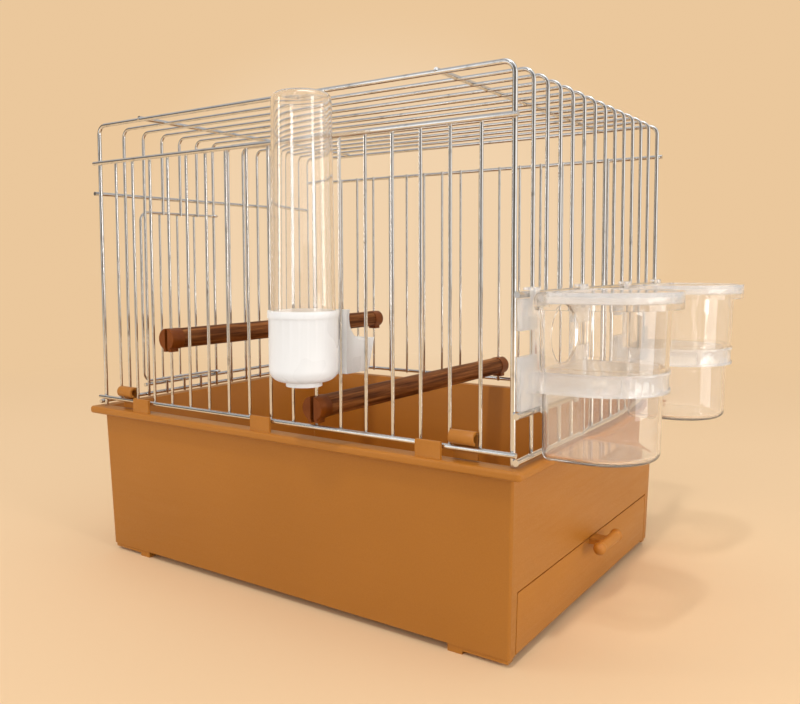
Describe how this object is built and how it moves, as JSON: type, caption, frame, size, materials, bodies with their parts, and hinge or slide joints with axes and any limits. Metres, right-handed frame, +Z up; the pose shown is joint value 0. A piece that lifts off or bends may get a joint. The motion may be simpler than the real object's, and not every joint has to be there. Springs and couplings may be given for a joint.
{
  "type": "bird cage",
  "caption": "Wire bird cage on a moulded tub with a pull-out tray, side door, perches, outside seed cups with hinged lids and a clear tube drinker.",
  "frame": {"origin": "on the table, under the middle of the whole cage's box", "axes": "+Z up, -Y the front with the drinker, +X the end with the drawer and the seed cups"},
  "size_m": [0.357, 0.2528, 0.2749],
  "materials": {
    "brown_plastic": "satin moulded, caramel brown",
    "plated_wire": "bright plated steel wire",
    "perch_wood": "dark reddish-brown grain",
    "perch_end_plastic": "brown moulded",
    "white_plastic": "opaque white, smooth",
    "clear_plastic": "clear, polished",
    "frosted_plastic": "translucent, slightly frosted"
  },
  "bodies": {
    "cage": {"back_bottom_bar": "plated_wire", "back_hoop": "plated_wire", "back_top_bar": "plated_wire", "back_wires": "plated_wire", "base_tub": "brown_plastic", "door_stubs": "plated_wire", "drinker_base": "white_plastic", "far_feeder_bracket": "frosted_plastic", "far_hatch_stubs": "plated_wire", "front_bottom_bar": "plated_wire", "front_hoop": "plated_wire", "front_top_bar": "plated_wire", "front_wires": "plated_wire", "high_perch_dowel": "perch_wood", "high_perch_ends": "perch_end_plastic", "hoop_01": "plated_wire", "hoop_02": "plated_wire", "hoop_03": "plated_wire", "hoop_04": "plated_wire", "hoop_05": "plated_wire", "hoop_06": "plated_wire", "hoop_07": "plated_wire", "hoop_08": "plated_wire", "hoop_09": "plated_wire", "hoop_10": "plated_wire", "hoop_11": "plated_wire", "hoop_12": "plated_wire", "left_bottom_bar": "plated_wire", "left_sill_bar": "plated_wire", "left_upper_bar": "plated_wire", "low_perch_dowel": "perch_wood", "low_perch_ends": "perch_end_plastic", "near_feeder_bracket": "frosted_plastic", "near_hatch_stubs": "plated_wire", "right_bottom_bar": "plated_wire", "right_lower_bar": "plated_wire", "right_upper_bar": "plated_wire", "roof_bar_left": "plated_wire", "roof_bar_right": "plated_wire"},
    "drawer": {"drawer_tray": "brown_plastic", "drawer_pull": "brown_plastic"},
    "door": {"door_frame": "plated_wire", "door_bars": "plated_wire"},
    "latch_left": {"latch_left": "brown_plastic"},
    "latch_right": {"latch_right": "brown_plastic"},
    "near_cup": {"near_feeder_cup": "clear_plastic"},
    "near_lid": {"near_feeder_lid": "frosted_plastic"},
    "far_cup": {"far_feeder_cup": "clear_plastic"},
    "far_lid": {"far_feeder_lid": "frosted_plastic"},
    "tube": {"drinker_tube": "clear_plastic"}
  },
  "joints": [
    {"name": "drawer_slide", "type": "slide", "parent": "cage", "child": "drawer", "axis": [1, 0, 0], "range_m": [0, 0.2]},
    {"name": "door_hinge", "type": "hinge", "parent": "cage", "child": "door", "pos_m": [-0.17115, 0.00707, 0.16], "axis": [0, 0, -1], "range_deg": [0, 110]},
    {"name": "latch_left_flex", "type": "hinge", "parent": "cage", "child": "latch_left", "pos_m": [-0.1469, -0.08762, 0.095], "axis": [-1, 0, 0], "range_deg": [0, 15], "stiffness_Nm_per_rad": 0.05},
    {"name": "latch_right_flex", "type": "hinge", "parent": "cage", "child": "latch_right", "pos_m": [0.0931, -0.08762, 0.095], "axis": [-1, 0, 0], "range_deg": [0, 15], "stiffness_Nm_per_rad": 0.05},
    {"name": "near_cup_lift", "type": "slide", "parent": "cage", "child": "near_cup", "axis": [0, 0, 1], "range_m": [0, 0.045]},
    {"name": "near_lid_hinge", "type": "hinge", "parent": "near_cup", "child": "near_lid", "pos_m": [0.1265, -0.04877, 0.1697], "axis": [0, -1, 0], "range_deg": [0, 90]},
    {"name": "far_cup_lift", "type": "slide", "parent": "cage", "child": "far_cup", "axis": [0, 0, 1], "range_m": [0, 0.045]},
    {"name": "far_lid_hinge", "type": "hinge", "parent": "far_cup", "child": "far_lid", "pos_m": [0.1265, 0.07842, 0.1697], "axis": [0, -1, 0], "range_deg": [0, 90]},
    {"name": "tube_lift", "type": "slide", "parent": "cage", "child": "tube", "axis": [0, 0, 1], "range_m": [0, 0.03]}
  ]
}
